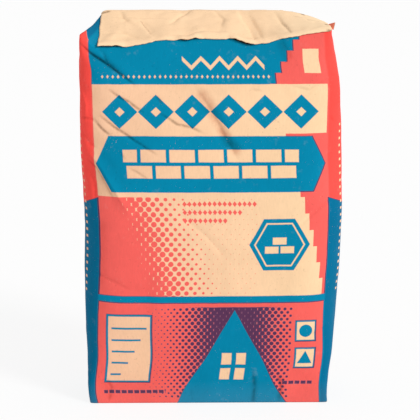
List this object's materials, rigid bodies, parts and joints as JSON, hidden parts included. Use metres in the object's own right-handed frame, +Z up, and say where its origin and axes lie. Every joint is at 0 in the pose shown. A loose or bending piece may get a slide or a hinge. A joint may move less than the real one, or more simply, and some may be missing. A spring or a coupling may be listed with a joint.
{
  "type": "cement bag",
  "caption": "Filled paper valve sack with folded block ends and pasted plain cover sheets, standing upright on its flat bottom.",
  "frame": {"origin": "centre of the flat bottom, on the lower face of the pasted bottom sheet", "axes": "+Z up along the sack's height, +Y from the front panel to the back panel, +X to the right seen from the front"},
  "size_m": [0.3707, 0.122, 0.5636],
  "materials": {
    "printed_kraft": "matt printed kraft paper",
    "plain_kraft": "matt plain kraft paper"
  },
  "bodies": {
    "root": {"filled_sack": "printed_kraft", "top_cover_patch": "plain_kraft", "bottom_cover_patch": "plain_kraft", "valve_sleeve": "plain_kraft"}
  },
  "joints": []
}
